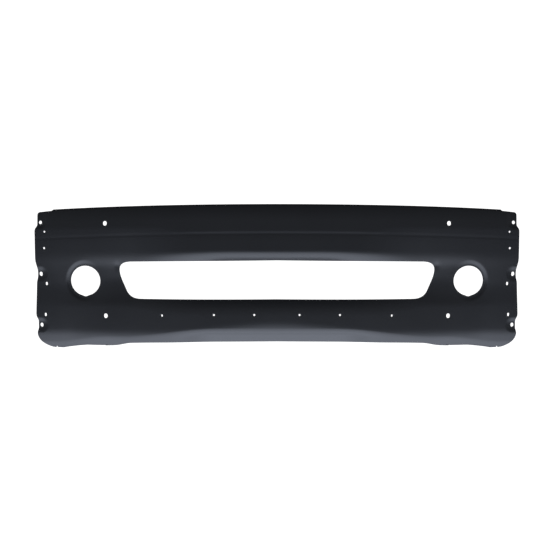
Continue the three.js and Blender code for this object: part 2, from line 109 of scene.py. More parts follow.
# Holes on one side: x, z, radius and, for an upright slot, its length.
BOLT_HOLES = [(638.5, 200.9, 7.4, 17.0), (640.2, -143.0, 7.4, 17.0)]
END_SLOTS = [(875.6, -23.1, 4.1, 12.6), (881.4, -140.9, 4.1, 12.6)]
TAB_HOLES = [(893.4, 208.0, 6.2, 13.0), (898.6, 13.6, 6.2, 17.0), (898.8, -180.4, 6.2, 15.5)]
SKIRT_HOLES = [(83.0, -137.0, 4.5), (231.5, -137.5, 4.5), (426.7, -140.8, 5.3)]
CAP_HOLE = (880.6, 110.8, 4.0)
LOCATING_HOLE = (877.0, 172.2, 3.5)

WEB = (616.0, 622.0)
BRACKET_OUTER, FOOT_THICKNESS = 676.0, 5.0
UPPER_FOOT, LOWER_FOOT, HOLE_CLEARANCE = (172.0, 232.0), (-166.0, -116.0), 2.2
WEB_TOE, UPPER_HEEL, LOWER_HEEL, WEB_WINDOW = 6.0, 26.0, 14.0, (172.0, 6.0, 24.0)
WEB_RELIEF, RELIEF_BENDS = 42.0, (130.0, 60.0, -80.0)
SILL = dict(top=-253.9, thickness=5.0, front=172.0, rear=206.0, rise=22.0, shoulder=10.0, bolt=(14.0, 6.5))
TONGUE = dict(inner=634.0, outer=652.0, front=156.0)
PLATE = dict(thickness=8.0, top=95.0, chamfer=12.0, slot_x=655.0, slot_z=62.0, slot=(6.5, 24.0))
STIFFENER = dict(half=606.0, thickness=2.5, depth=28.0, low=168.0, high=244.0, brim=16.0, slant=7.0)
M8_NUT = dict(bore=3.5, pitch=1.25, across=14.0, height=7.0, flange=11.0, brim=1.8)
M10_NUT = dict(bore=4.3, pitch=1.5, across=17.0, height=8.0, flange=12.0, brim=1.8)
WASHER = dict(bore=8.6, outer=11.4, thickness=3.0)


# ---------- shape of the face ----------

def ease(t):
    """A smooth step from 0 to 1, flat at both ends."""
    return (1 - np.cos(np.pi * np.clip(t, 0, 1))) / 2


def soft_min(a, b, width):
    """The smaller of two values, with the corner between them rounded over."""
    return (a + b - np.hypot(a - b, width)) / 2


def along(name, a):
    """A value of the section at distance a from the centre line."""
    centre, *changes = SECTION[name]
    return centre + sum(amount * ease((a - start) / (end - start)) for amount, start, end in changes)


def bend(drop, width):
    """Depth of a surface that turns from upright to a slope of one while it drops by `width`."""
    t = np.clip(drop / width, 0, 1)
    return width * (t ** 3 - t ** 4 / 2) + np.maximum(0, drop - width)


def top_height(a):
    """Height of the top edge, which sags towards the ends."""
    return TOP_EDGE - TOP_SAG[0] * (a / TOP_SPAN) ** 2 - TOP_SAG[1] * (a / TOP_SPAN) ** 4


def band_top(a):
    """Height at which the face turns into the top bend."""
    return top_height(a) - TOP_BEND * (1 - math.sin(LEAN_ANGLE))


def crease_height(a):
    """Height of the crease under the upper band."""
    return CREASE["height"] - CREASE["drop"] * (a / CREASE["span"]) ** 2


def crease_depth(a, z):
    """A small step that fades towards the ends, with a shallow groove along its foot."""
    below = crease_height(a) - z
    step = along("crease_step", a) * ease((below + CREASE["lip"]) / CREASE["width"])
    return step - CREASE["groove"] * ease((below + 1) / CREASE["groove_width"])


def undercut_depth(a, z):
    """The middle of the face leans in below, more so at the ends, and is nearly upright lower down."""
    slope = along("undercut_slope", a)
    leaning = slope * bend(along("undercut_start", a) - z, UNDERCUT["round"])
    back = bend(along("undercut_rest_from", a) - z, UNDERCUT["rest_round"])
    return leaning - (slope - along("undercut_rest", a)) * back


def trough_depth(a, z):
    """The long trough that holds the opening and the lamps: deep at the centre, shallow at the ends."""
    corner = DEEP_TROUGH["corner"]
    upper = along("upper_wall_slope", a) * bend(along("trough_top", a) - z, along("upper_wall_height", a))
    rise = bend(z - along("trough_bottom", a), along("lower_wall_height", a))
    lower = along("lower_wall_slope", a) * rise
    deep = DEEP_TROUGH["depth"] / (1 + (a / DEEP_TROUGH["half_length"]) ** DEEP_TROUGH["sharpness"])
    return soft_min(soft_min(upper, lower, corner), along("trough_reach", a) + deep, corner)


def dish_depth(a, z):
    """The shallow seat pressed round each lamp hole, deeper on its outboard side."""
    r = np.hypot(a - LAMP["x"], z - LAMP["z"])
    depth = DISH["depth"] + DISH["tip"] * (a - LAMP["x"]) / DISH["rim"]
    return depth * ease((DISH["rim"] + DISH["wall"] - r) / DISH["wall"])


def dent_depth(a, z):
    """The soft dent beside each upper corner of the opening, where the deep trough runs out."""
    away = np.hypot(a - DENT["x"], z - DENT["z"]) / DENT["width"]
    return DENT["depth"] * np.exp(-away ** 2)


def roll_depth(a, z):
    """The face rounds gently near its foot, then the lower edge rolls under."""
    belly = BELLY["slope"] * bend(along("belly_start", a) - z, BELLY["round"])
    return belly + along("roll_slope", a) * bend(along("roll_start", a) - z, along("roll_height", a))


def tab_depth(a, z):
    """Three tabs at each end step back, so that the corner cap lies flush over them."""
    (tx, tz, *_), (mx, mz, *_), (bx, bz, *_) = TAB_HOLES
    top = np.hypot(np.maximum(0, tx - a), np.maximum(0, tz - z))
    middle = np.hypot(np.maximum(0, mx - a), mz - z)
    bottom = np.hypot(np.maximum(0, bx - a), bz - z)
    nearest = np.minimum(top, np.minimum(middle, bottom))
    return TAB["depth"] * ease((TAB["radius"] + TAB["ramp"] - nearest) / TAB["ramp"])


def face_depth(x, z):
    """Depth of the outer surface behind the foremost plane."""
    a = np.abs(x)
    plan = WRAP * (a / HALF_WIDTH) ** 2
    lean = LEAN * np.maximum(0, z - LEAN_FROM) ** 2
    hollow = trough_depth(a, z) + dish_depth(a, z) + dent_depth(a, z)
    pressed = undercut_depth(a, z) + crease_depth(a, z) + hollow + roll_depth(a, z) + tab_depth(a, z)
    return plan + lean + pressed


BEND_SWEEP = math.pi / 2 - LEAN_ANGLE
BEND_LENGTH = TOP_BEND * BEND_SWEEP
NORMAL_STEP = 0.2  # either side of a point, for the slope there


def face_surface(u, v):
    """Outer surface: u runs across, v up the face, then on round the top bend and along the flange."""
    top = band_top(np.abs(u))
    over = np.maximum(0, v - top)
    z_face = np.minimum(v, top)
    angle = LEAN_ANGLE + np.minimum(over, BEND_LENGTH) / TOP_BEND
    flat = np.maximum(0, over - BEND_LENGTH)
    y = face_depth(u, z_face) + TOP_BEND * (math.cos(LEAN_ANGLE) - np.cos(angle)) + flat
    z = z_face + TOP_BEND * (np.sin(angle) - math.sin(LEAN_ANGLE))
    return np.stack([u, y, z], axis=-1)


def plain_face(u, v):
    """Outer surface of the face alone, with v as the height."""
    return np.stack([u, face_depth(u, v), v], axis=-1)


def normal_of(surface, u, v):
    """Unit normal of a surface given as a function of u and v."""
    across = surface(u + NORMAL_STEP, v) - surface(u - NORMAL_STEP, v)
    up = surface(u, v + NORMAL_STEP) - surface(u, v - NORMAL_STEP)
    normal = np.cross(across, up)
    return normal / np.linalg.norm(normal, axis=-1, keepdims=True)


def behind_face(x, z, offset):
    """Points behind the panel: `offset` beyond the panel's rear surface."""
    x, z, offset = np.broadcast_arrays(np.asarray(x, float), np.asarray(z, float), np.asarray(offset, float))
    return plain_face(x, z) - (SHEET + offset)[..., None] * normal_of(plain_face, x, z)


# ---------- outlines ----------

def curve(p0, p1, p2, p3, steps):
    """Points of a cubic curve, without its first point."""
    t = np.linspace(0, 1, steps + 1)[1:, None]
    p0, p1, p2, p3 = (np.array(p, float) for p in (p0, p1, p2, p3))
    return (1 - t) ** 3 * p0 + 3 * (1 - t) ** 2 * t * p1 + 3 * (1 - t) * t ** 2 * p2 + t ** 3 * p3


def route(start, *legs):
    """A polyline from `start`. A leg (point, steps) is straight, (c, point, steps) is a quadratic curve and
    (c1, c2, point, steps) is a cubic curve."""
    points = [np.array([start], float)]
    for leg in legs:
        here = points[-1][-1]
        controls, end, steps = [np.array(c, float) for c in leg[:-2]], np.array(leg[-2], float), leg[-1]
        if not controls:
            controls = [here + (end - here) / 3, end - (end - here) / 3]
        elif len(controls) == 1:
            controls = [p + (controls[0] - p) * 2 / 3 for p in (here, end)]
        points.append(curve(here, *controls, end, steps))
    return np.concatenate(points)


ARC_STEP = math.radians(11)


def rounded(corners):
    """A closed ring through (x, y, radius) corners, each rounded by an arc of its radius."""
    ring = []
    places = [np.array(corner[:2], float) for corner in corners]
    for k, (_, _, radius) in enumerate(corners):
        here, before, after = places[k], places[k - 1], places[(k + 1) % len(corners)]
        if radius == 0:
            ring.append(here)
            continue
        back = (before - here) / np.linalg.norm(before - here)
        ahead = (after - here) / np.linalg.norm(after - here)
        half = math.acos(float(back @ ahead)) / 2
        reach = radius / math.tan(half)
        centre = here + (back + ahead) / np.linalg.norm(back + ahead) * radius / math.sin(half)
        first, last = here + back * reach - centre, here + ahead * reach - centre
        turn = math.pi - 2 * half
        for t in np.linspace(0, 1, max(3, int(turn / ARC_STEP))):
            swung = math.sin((1 - t) * turn) * first + math.sin(t * turn) * last
            ring.append(centre + swung / math.sin(turn))
    return np.array(ring)


def subdivide(ring, longest):
    """The ring with its long edges divided evenly."""
    points = []
    for here, after in zip(ring, np.roll(ring, -1, axis=0)):
        count = max(1, math.ceil(np.linalg.norm(after - here) / longest))
        points += [here + (after - here) * k / count for k in range(count)]
    return np.array(points)


def both_halves(half):
    """The half outline joined to its mirror image, in anticlockwise order."""
    left = half[1:-1] * (-1, 1)
    return np.concatenate([left, half[::-1]])


def round_hole(x, z, radius, divisions=32):
    """A circle, as a ring of points."""
    turn = 2 * np.pi * (np.arange(divisions) + 0.5) / divisions
    return np.stack([x + radius * np.cos(turn), z + radius * np.sin(turn)], axis=1)


def slot_hole(x, z, radius, length):
    """An upright slot with round ends, as a ring of points."""
    ring = round_hole(x, z, radius)
    lift = length / 2 - radius
    ring[:, 1] += np.where(ring[:, 1] > z, lift, -lift)
    return ring


LAMP_DIVISIONS = 120


def lamp_hole(x):
    """The lamp hole, with the small vee at its foot that keys the lamp."""
    turn = 2 * np.pi * (np.arange(LAMP_DIVISIONS) + 0.5) / LAMP_DIVISIONS
    vee = np.clip(1 - np.abs(turn - 1.5 * np.pi) / LAMP["key_spread"], 0, 1)
    across = LAMP["half_width"] * np.cos(turn)
    up = LAMP["half_height"] * np.sin(turn) - LAMP["key"] * vee
    return np.stack([x + across, LAMP["z"] + up], axis=1)


def flange_end(a):
    """Where the top flange ends, as v."""
    return band_top(a) + BEND_LENGTH + FLANGE_DEPTH - TOP_BEND


def outline_half():
    """Right half of the panel's outline in u and v, from the rear of the flange to the lower edge."""
    corner = 6
    across = np.linspace(0, FLANGE_HALF - corner, 85)
    top = np.stack([across, flange_end(across)], axis=1)
    end = float(flange_end(FLANGE_HALF))
    side = route(
        top[-1],
        ((FLANGE_HALF - 2, end), (FLANGE_HALF, end - 3), (FLANGE_HALF, end - corner), 5),
        ((FLANGE_HALF, 260), 10),
        ((FLANGE_HALF, 254), (FLANGE_HALF + 3, 251.5), (FLANGE_HALF + 8, 251), 6),
        ((894, 247.6), 10),
        ((902, 247.3), (906.2, 243), (906.2, 236), 6),
        ((906, 203), 7),
        ((906, 190), (917, 190), (917, 172), 12),
        ((919, 74), 20),
        ((919, 50), (910.4, 44), (910.4, 18), 20),
        ((910.4, -4), (915.6, -10), (916, -28), 14),
        ((HALF_WIDTH, -137), 20),
        ((HALF_WIDTH, -155), (911.2, -153), (911.2, -169), 12),
        ((911.2, -187), 5),
        ((911.2, -199), (916, -202), (915.8, -213), 10),
        ((914, -241), (886, -257), (858, -265.4), 24),
        ((845, -266.8), 3),
        ((843, -266.4), (843, -261.6), (841, -261.6), 4),
        ((839, -261.6), (840, -266.6), (838, -266.6), 4),
        ((814, -267.4), 5),
        ((795, -263), (750, -257.5), (718, -255), 20),
        ((TONGUE["outer"] + 1, -255.2), 10),
        ((TONGUE["outer"] - 2, -255.2), (TONGUE["outer"] - 1, -252.7), (TONGUE["outer"] - 5, -252.7), 5),
        ((TONGUE["inner"] + 5, -252.7), 3),
        ((TONGUE["inner"] + 1, -252.7), (TONGUE["inner"] + 2, -255.4), (TONGUE["inner"] - 1, -255.4), 5),
        ((590, -256), (578, -247.5), (545, -244.8), 18),
        ((376, -240.5), (178, -239.5), (0, -238.2), 80),
    )
    return np.concatenate([top, side[1:]])


def opening_half():
    """Right half of the air opening."""
    return route(
        (0, 62.4),
        ((190, 60), (379, 59.4), (545, 58.6), 80),
        ((572, 57.4), (586.6, 48), (586.6, 30), 18),
        ((586.6, 4), (572, -20), (559, -50), 20),
        ((549, -68), (533, -79), (502, -79), 18),
        ((380, -80.6), (190, -80.8), (0, -79.2), 75),
    )


def panel_rings():
    """The panel's outline, then every hole in it."""
    rings = [both_halves(outline_half()), both_halves(opening_half())]
    for side in (-1, 1):
        rings += [round_hole(side * x, z, r) for x, z, r in [*SKIRT_HOLES, CAP_HOLE, LOCATING_HOLE]]
        rings += [slot_hole(side * x, z, r, length) for x, z, r, length in BOLT_HOLES + TAB_HOLES + END_SLOTS]
        rings.append(lamp_hole(side * LAMP["x"]))
    return rings


# ---------- sheets ----------

# In from a sheet's edge: the first row of points inside it, and how far the other points stay away.
FRINGE, RIM_CLEARANCE = 2.2, 1.5
NEAR_EDGE = 0.7  # how worn the flat is beside the rounded edge, where 1 is the edge itself


def inside(points, ring):
    """Which points lie inside a closed ring."""
    x, y = points[:, 0], points[:, 1]
    result = np.zeros(len(points), bool)
    for (x0, y0), (x1, y1) in zip(ring, np.roll(ring, -1, axis=0)):
        if y0 != y1:
            crosses = (y0 > y) != (y1 > y)
            result ^= crosses & (x < (x1 - x0) * (y - y0) / (y1 - y0) + x0)
    return result


def on_sheet(points, rings):
    """Which points lie inside the outline, which is the first ring, and outside every hole."""
    result = inside(points, rings[0])
    for hole in rings[1:]:
        result &= ~inside(points, hole)
    return result


def clear_of(points, rings, distance):
    """Which points are at least `distance` from every point of the rings."""
    rim = np.concatenate(rings)
    tree = KDTree(len(rim))
    for k, (x, y) in enumerate(rim.tolist()):
        tree.insert((x, y, 0), k)
    tree.balance()
    return np.array([tree.find((x, y, 0))[2] >= distance for x, y in points.tolist()], bool)


def ring_outward(ring, is_hole):
    """Unit vectors in u and v from the sheet towards the empty side of its edge."""
    towards = np.roll(ring, -1, axis=0) - np.roll(ring, 1, axis=0)
    out = np.stack([towards[:, 1], -towards[:, 0]], axis=1)
    out /= np.linalg.norm(out, axis=1, keepdims=True)
    after = np.roll(ring, -1, axis=0)
    area = np.sum(ring[:, 0] * after[:, 1] - after[:, 0] * ring[:, 1])
    return out if (area > 0) != is_hole else -out


def triangulate(rings, extra):
    """Triangles of the sheet in u and v. Returns the points, ring points first, and the triangles."""
    extra = extra[on_sheet(extra, rings)]
    extra = extra[clear_of(extra, rings, RIM_CLEARANCE)]
    points = np.concatenate([*rings, extra])
    edges, start = [], 0
    for ring in rings:
        edges += [(start + k, start + (k + 1) % len(ring)) for k in range(len(ring))]
        start += len(ring)
    found = delaunay_2d_cdt([Vector(p) for p in points], edges, [], 0, 1e-6)
    verts, faces, origin = found[0], found[2], found[3]
    if len(verts) != len(points):
        raise ValueError("the triangulation changed the number of points")
    order = np.array([o[0] for o in origin])
    triangles = order[np.array(faces)]
    triangles = triangles[on_sheet(points[triangles].mean(axis=1), rings)]
    a, b, c = (points[triangles[:, k]] for k in range(3))
    area = (b[:, 0] - a[:, 0]) * (c[:, 1] - a[:, 1]) - (c[:, 0] - a[:, 0]) * (b[:, 1] - a[:, 1])
    triangles[area < 0] = triangles[area < 0][:, ::-1]
    return points, triangles


def pressing(rings, surface, thickness, grid=None):
    """A sheet whose outer side lies on `surface`, cut to its rings, outline first, with rounded edges.

    Returns its points, normals and faces, and how close each point is to an edge, from 0 to 1."""
    outwards = [ring_outward(ring, k > 0) for k, ring in enumerate(rings)]
    inset = [ring - EDGE_ROUND * out for ring, out in zip(rings, outwards)]
    fringe = [ring[::2] - (EDGE_ROUND + FRINGE) * out[::2] for ring, out in zip(rings, outwards)]
    points, triangles = triangulate(inset, np.concatenate(fringe if grid is None else [*fringe, grid]))
    front = surface(points[:, 0], points[:, 1])
    normal = normal_of(surface, points[:, 0], points[:, 1])
    count = len(points)
    near_edge = np.where(np.arange(count) < sum(len(ring) for ring in rings), NEAR_EDGE, 0.0)
    verts, normals, edge = [front, front - thickness * normal], [normal, -normal], [near_edge, near_edge]
    faces = [tuple(t) for t in triangles.tolist()]
    faces += [(count + a, count + c, count + b) for a, b, c in triangles.tolist()]
    total, start = 2 * count, 0
    for ring in rings:
        size = len(ring)
        rim = surface(ring[:, 0], ring[:, 1])
        rim_normal = normal_of(surface, ring[:, 0], ring[:, 1])
        out = rim - front[start:start + size]
        out -= np.sum(out * rim_normal, axis=1, keepdims=True) * rim_normal
        out /= np.linalg.norm(out, axis=1, keepdims=True)
        loops = [np.arange(start, start + size)]
        for angle, rear in ((45, False), (90, False), (90, True), (45, True)):
            sine, cosine = math.sin(math.radians(angle)), math.cos(math.radians(angle))
            depth = EDGE_ROUND * (1 - cosine)
            depth = thickness - depth if rear else depth
            verts.append(rim - EDGE_ROUND * (1 - sine) * out - depth * rim_normal)
            normals.append(sine * out + (-cosine if rear else cosine) * rim_normal)
            edge.append(np.ones(size))
            loops.append(np.arange(total, total + size))
            total += size
        loops.append(np.arange(count + start, count + start + size))
        clockwise = float(np.cross(front[start + 1] - front[start], out[0]) @ rim_normal[0]) > 0
        for upper, lower in zip(loops, loops[1:]):
            ahead, below = np.roll(upper, -1), np.roll(lower, -1)
            quads = zip(upper.tolist(), ahead.tolist(), below.tolist(), lower.tolist())
            faces += [q if clockwise else q[::-1] for q in quads]
        start += size
    return np.concatenate(verts), np.concatenate(normals), faces, np.concatenate(edge)


def lattice(low, high, step):
    """A regular grid of points over a rectangle."""
    counts = [max(2, math.ceil((b - a) / step) + 1) for a, b in zip(low, high)]
    across, up = (np.linspace(a, b, n) for a, b, n in zip(low, high, counts))
    return np.stack([v.ravel() for v in np.meshgrid(across, up)], axis=1)


def face_rows(a):
    """Heights v of the mesh rows at each distance a from the centre, closest together where it bends."""
    crease_top = crease_height(a) + CREASE["lip"]
    crease_foot = crease_height(a) + 1 - CREASE["groove_width"]
    wall_top, wall_bottom = along("trough_top", a), along("trough_bottom", a)
    wall_foot = wall_top - along("upper_wall_height", a)
    lower_top = wall_bottom + along("lower_wall_height", a)
    roll = along("roll_start", a)
    stops = [
        (flange_end(a), 4), (band_top(a) + BEND_LENGTH, 6), (band_top(a), 14), (crease_top, 10),
        (crease_foot, 8), (wall_top, 16), (wall_foot, 12), (lower_top, 12),
        (wall_bottom, 8), (roll, 16), (roll - along("roll_height", a), 8), (LOWEST + 0 * a, 0),
    ]
    rows = [stops[0][0]]
    for (start, count), (end, _) in zip(stops, stops[1:]):
        rows += [start + (end - start) * k / count for k in range(1, count + 1)]
    return np.stack(rows, axis=1)


SEAT_RINGS, SEAT_DIVISIONS, SEAT_MARGIN = 10, 128, 4
TAB_MARGIN, TAB_NET = 3, 2.6


def face_grid():
    """A net of points over the panel, with finer patches round the lamp seats and the end tabs."""
    right = np.concatenate([
        np.linspace(0, 560, 70, endpoint=False),
        np.linspace(560, 860, 75, endpoint=False),
        np.linspace(860, 918, 15),
    ])
    columns = np.concatenate([-right[:0:-1], right])
    rows = face_rows(np.abs(columns))
    across = np.repeat(columns[:, None], rows.shape[1], axis=1)
    points = np.stack([across.ravel(), rows.ravel()], axis=1)
    seat_to = DISH["rim"] + DISH["wall"] + SEAT_MARGIN
    seat_radii = np.linspace(DISH["rim"], seat_to, SEAT_RINGS)
    reach = TAB["radius"] + TAB["ramp"] + TAB_MARGIN
    for side in (-1, 1):
        away = np.hypot(points[:, 0] - side * LAMP["x"], points[:, 1] - LAMP["z"])
        seat = [round_hole(side * LAMP["x"], LAMP["z"], r, SEAT_DIVISIONS) for r in seat_radii]
        points = np.concatenate([points[away > seat_to + 2], *seat])
        for k, (x, z, *_) in enumerate(TAB_HOLES):
            low, high = z - reach, band_top(x) if k == 0 else z + reach
            beyond = points[:, 0] * side > x - reach - 1
            covered = beyond & (points[:, 1] > low - 1) & (points[:, 1] < high + 1)
            patch = lattice((x - reach, low), (HALF_WIDTH, high), TAB_NET) * (side, 1)
            points = np.concatenate([points[~covered], patch])
    return points


# ---------- pieces behind the face ----------

def foot(span, hole):
    """A bracket foot that lies against the back of the panel around a large bolt hole."""
    (low, high), inner, outer = span, WEB[0] + 1, BRACKET_OUTER
    outline = rounded([(inner, low, 1), (outer, low, 6), (outer, high, 6), (inner, high, 1)])
    x, z, radius, length = hole
    slot = slot_hole(x, z, radius + HOLE_CLEARANCE, length + 2 * HOLE_CLEARANCE)
    grid = lattice((inner + 4, low + 4), (outer - 4, high - 4), 6)
    return pressing([subdivide(outline, 4), slot], lambda u, v: behind_face(u, v, GAP), FOOT_THICKNESS, grid)


def web():
    """The upright plate of a bracket, between the two feet in front and the chassis plate behind."""
    rear = MOUNT_DEPTH - PLATE["thickness"] - GAP
    upper_low, upper_high = UPPER_FOOT
    lower_low, lower_high = LOWER_FOOT

    def seat(z, further=0.0):
        return float(face_depth(WEB[0], z)) + SHEET + GAP + FOOT_THICKNESS / 2 + 1 + further

    relief = float(face_depth(WEB[1], 0.0)) + WEB_RELIEF
    bend_top, bend_middle, bend_low = RELIEF_BENDS
    front = route(
        (seat(upper_high), upper_high),
        ((seat(upper_low), upper_low), 1),
        ((seat(upper_low, WEB_TOE), upper_low), 1),
        ((relief, bend_top), (relief, bend_middle), 14),
        ((relief, bend_low), (seat(lower_high, WEB_TOE), lower_high), 14),
        ((seat(lower_high), lower_high), 1),
        ((seat(lower_low), lower_low), 1),
    )
    back = rounded([
        (*front[-1], 0), (seat(lower_low, LOWER_HEEL), lower_low, 3),
        (SILL["front"], SILL["top"] + SILL["rise"], 8), (SILL["front"], SILL["top"] - 1, 1),
        (SILL["rear"], SILL["top"] - 1, 1), (rear, -PLATE["top"], 10),
        (rear, PLATE["top"], 10), (seat(upper_high, UPPER_HEEL), upper_high, 8), (*front[0], 0),
    ])
    outline = np.concatenate([front, back[1:-1]])
    rings = [subdivide(outline, 12), round_hole(*WEB_WINDOW, 48)]
    return pressing(rings, lambda u, v: np.stack([WEB[1] + 0 * u, u, v], axis=-1), WEB[1] - WEB[0])


def sill():
    """The underside foot that carries the skirt, with its tongue reaching forward under the panel."""
    front, rear, inner, outer = SILL["front"], SILL["rear"], TONGUE["inner"], TONGUE["outer"]
    shoulder = SILL["shoulder"]
    outline = rounded([
        (WEB[0], rear, 1), (WEB[0], front, 1), (inner, front, 3), (inner, TONGUE["front"], 3),
        (outer, TONGUE["front"], 3), (outer + shoulder, front + shoulder / 2, 4), (outer + shoulder, rear, 5),
    ])
    behind, radius = SILL["bolt"]
    rings = [subdivide(outline, 8), round_hole((inner + outer) / 2, front + behind, radius)]
    return pressing(rings, lambda u, v: np.stack([u, v, SILL["top"] + 0 * u], axis=-1), SILL["thickness"])


def chassis_plate():
    """The thick plate that bolts to the end of the frame rail through two slots."""
    inner, outer, top, chamfer = WEB[0], BRACKET_OUTER, PLATE["top"], PLATE["chamfer"]
    outline = rounded([
        (inner, top, 1.5), (inner, -top, 1.5), (outer - chamfer, -top, 4), (outer, -top + chamfer, 4),
        (outer, top - chamfer, 4), (outer - chamfer, top, 4),
    ])
    slots = [slot_hole(PLATE["slot_x"], z, *PLATE["slot"]) for z in (-PLATE["slot_z"], PLATE["slot_z"])]
    front = MOUNT_DEPTH - PLATE["thickness"]

    def surface(u, v):
        return np.stack([u, front + 0 * u, v], axis=-1)

    return pressing([subdivide(outline, 10), *slots], surface, PLATE["thickness"])


SPOT_WELDS = np.arange(-570, 571, 95.0)
SPOT_RADIUS, SPOT_DEPTH = 3.6, 0.5
SPOT_RINGS = (1.2, 2.6, 4.0, 5.6)  # radii of the rings of mesh points round each spot weld
HAT_SAMPLE, HAT_CORNER = 0.25, 7.5


def stiffener():
    """Hat section across the back of the upper band, spot-welded along both brims."""
    high, low, brim, slant, depth = (STIFFENER[k] for k in ("high", "low", "brim", "slant", "depth"))
    heights = np.array([low, low + brim, low + brim + slant, high - brim - slant, high - brim, high])
    offsets = np.array([0, 0, depth, depth, 0, 0])
    lengths = np.concatenate([[0], np.cumsum(np.hypot(np.diff(heights), np.diff(offsets)))])
    width = lengths[-1]
    samples = np.arange(-20, width + 20, HAT_SAMPLE)
    beyond = np.minimum(0, samples) + np.maximum(0, samples - width)
    window = np.hanning(int(HAT_CORNER / HAT_SAMPLE) + 3)
    window /= window.sum()
    smooth_heights = np.convolve(np.interp(samples, lengths, heights) + beyond, window, "same")
    smooth_offsets = np.convolve(np.interp(samples, lengths, offsets), window, "same")
    spots = [(x, v) for x in SPOT_WELDS for v in (brim / 2, width - brim / 2)]

    def surface(u, v):
        z, offset = np.interp(v, samples, smooth_heights), np.interp(v, samples, smooth_offsets)
        dimple = sum(np.exp(-((u - x) ** 2 + (v - w) ** 2) / SPOT_RADIUS ** 2) for x, w in spots)
        return behind_face(u, z, GAP + offset - SPOT_DEPTH * dimple)

    half = STIFFENER["half"]
    outline = rounded([(-half, 0, 6), (half, 0, 6), (half, width, 6), (-half, width, 6)])
    across, up = np.meshgrid(np.arange(-588, 589, 14.0), np.arange(2, width - 1, 2.0))
    rosettes = [round_hole(x, v, r, 14) for x, v in spots for r in SPOT_RINGS]
    grid = np.concatenate([np.stack([across.ravel(), up.ravel()], axis=1), *rosettes])
    return pressing([subdivide(outline, 3.5)], surface, STIFFENER["thickness"], grid)


THREAD_DEPTH = 0.46  # as a fraction of the pitch
NUT_DIVISIONS, THREAD_ROWS = 48, 34


def weld_nut(size):
    """A weld nut about the y axis, its flange face at y = 0: round flange, chamfered hexagon, threaded bore.

    Returns its points and faces, and where it is bare metal."""
    turns = NUT_DIVISIONS
    theta = 2 * np.pi * np.arange(turns) / turns
    inradius, height, brim, flange = size["across"] / 2, size["height"], size["brim"], size["flange"]
    hexagon = inradius / np.cos(np.mod(theta, np.pi / 3) - np.pi / 6)
    major = size["bore"] + THREAD_DEPTH * size["pitch"]
    level = np.ones(turns)
    profile = [(level * radius, y) for radius, y in (
        (flange - 0.5, 0), (flange, 0.5), (flange, brim - 0.4), (flange - 0.4, brim))]
    profile += [(hexagon + grow, y) for grow, y in (
        (0.5, brim + 0.05), (0.15, brim + 0.3), (0, brim + 0.8), (0, height - 2))]
    for down in (1.4, 1, 0.6, 0.25, 0):
        profile.append((np.minimum(hexagon, inradius * 1.02 + 0.9 * down), height - down))
    profile += [(level * (major + inradius) / 2, height), (level * (major + 0.3), height)]
    outside = len(profile)
    for y in np.linspace(height - 0.5, 0.5, THREAD_ROWS):
        phase = np.mod(y / size["pitch"] - theta / (2 * np.pi), 1)
        fade = min(1, (height - y) / 1.2, y / 1.2)
        profile.append((major - fade * THREAD_DEPTH * size["pitch"] * (1 - np.abs(2 * phase - 1)), y))
    profile.append((level * (major + 0.3), 0))
    count = len(profile)
    bare = np.zeros(count)
    bare[outside:-1] = 1
    radius = np.stack([r for r, _ in profile], axis=1)
    y = np.array([y for _, y in profile]) + 0 * radius
    points = np.stack([radius * np.cos(theta)[:, None], y, radius * np.sin(theta)[:, None]], axis=-1)
    faces = []
    for i in range(turns):
        j = (i + 1) % turns
        for k in range(count):
            m = (k + 1) % count
            faces.append((i * count + k, i * count + m, j * count + m, j * count + k))
    return points.reshape(-1, 3), faces, np.tile(bare, turns)


WASHER_DIVISIONS = (64, 48)  # outer edge, bore


def weld_washer(hole):
    """A round washer that lies against the back of the panel, behind a hole."""
    x, z = hole[:2]
    radii = (WASHER["outer"], WASHER["bore"])
    rings = [round_hole(x, z, radius, count) for radius, count in zip(radii, WASHER_DIVISIONS)]
    return pressing(rings, lambda u, v: behind_face(u, v, GAP), WASHER["thickness"])


BEAD_RADIUS, BEAD_RIPPLE, BEAD_STEP, BEAD_SIDES = 2.6, 2.4, 0.6, 12


def weld_bead(start, end):
    """A rippled weld bead from start to end, as points and faces."""
    start, end = np.array(start, float), np.array(end, float)
    length = float(np.linalg.norm(end - start))
    ahead = (end - start) / length
    side = np.cross(ahead, (0.36, 0.48, 0.8))
    side /= np.linalg.norm(side)
    other = np.cross(ahead, side)
    turn = 2 * np.pi * np.arange(BEAD_SIDES) / BEAD_SIDES
    circle = np.cos(turn)[:, None] * side + np.sin(turn)[:, None] * other
    stations = int(length / BEAD_STEP)
    rings = []
    for s in np.linspace(0, length, stations):
        taper = math.sqrt(max(0.003, min(1, s / BEAD_RADIUS, (length - s) / BEAD_RADIUS)))
        ripple = 0.13 * math.sin(math.pi * ((s / BEAD_RIPPLE) % 1)) + 0.05 * math.sin(0.9 * s)
        rings.append(start + ahead * s + BEAD_RADIUS * taper * (0.9 + ripple) * circle)
    last = (stations - 1) * BEAD_SIDES
    faces = [tuple(range(BEAD_SIDES))[::-1], tuple(last + k for k in range(BEAD_SIDES))]
    for i in range(stations - 1):
        for k in range(BEAD_SIDES):
            m = (k + 1) % BEAD_SIDES
            here, there = i * BEAD_SIDES, (i + 1) * BEAD_SIDES
            faces.append((here + k, here + m, there + m, there + k))
    return np.concatenate(rings), faces


FOOT_BEADS = ((175, 200), (206, 229), (-163, -143), (-138, -119))  # heights, from and to
PLATE_BEADS = ((-88, -48), (-20, 20), (48, 88))


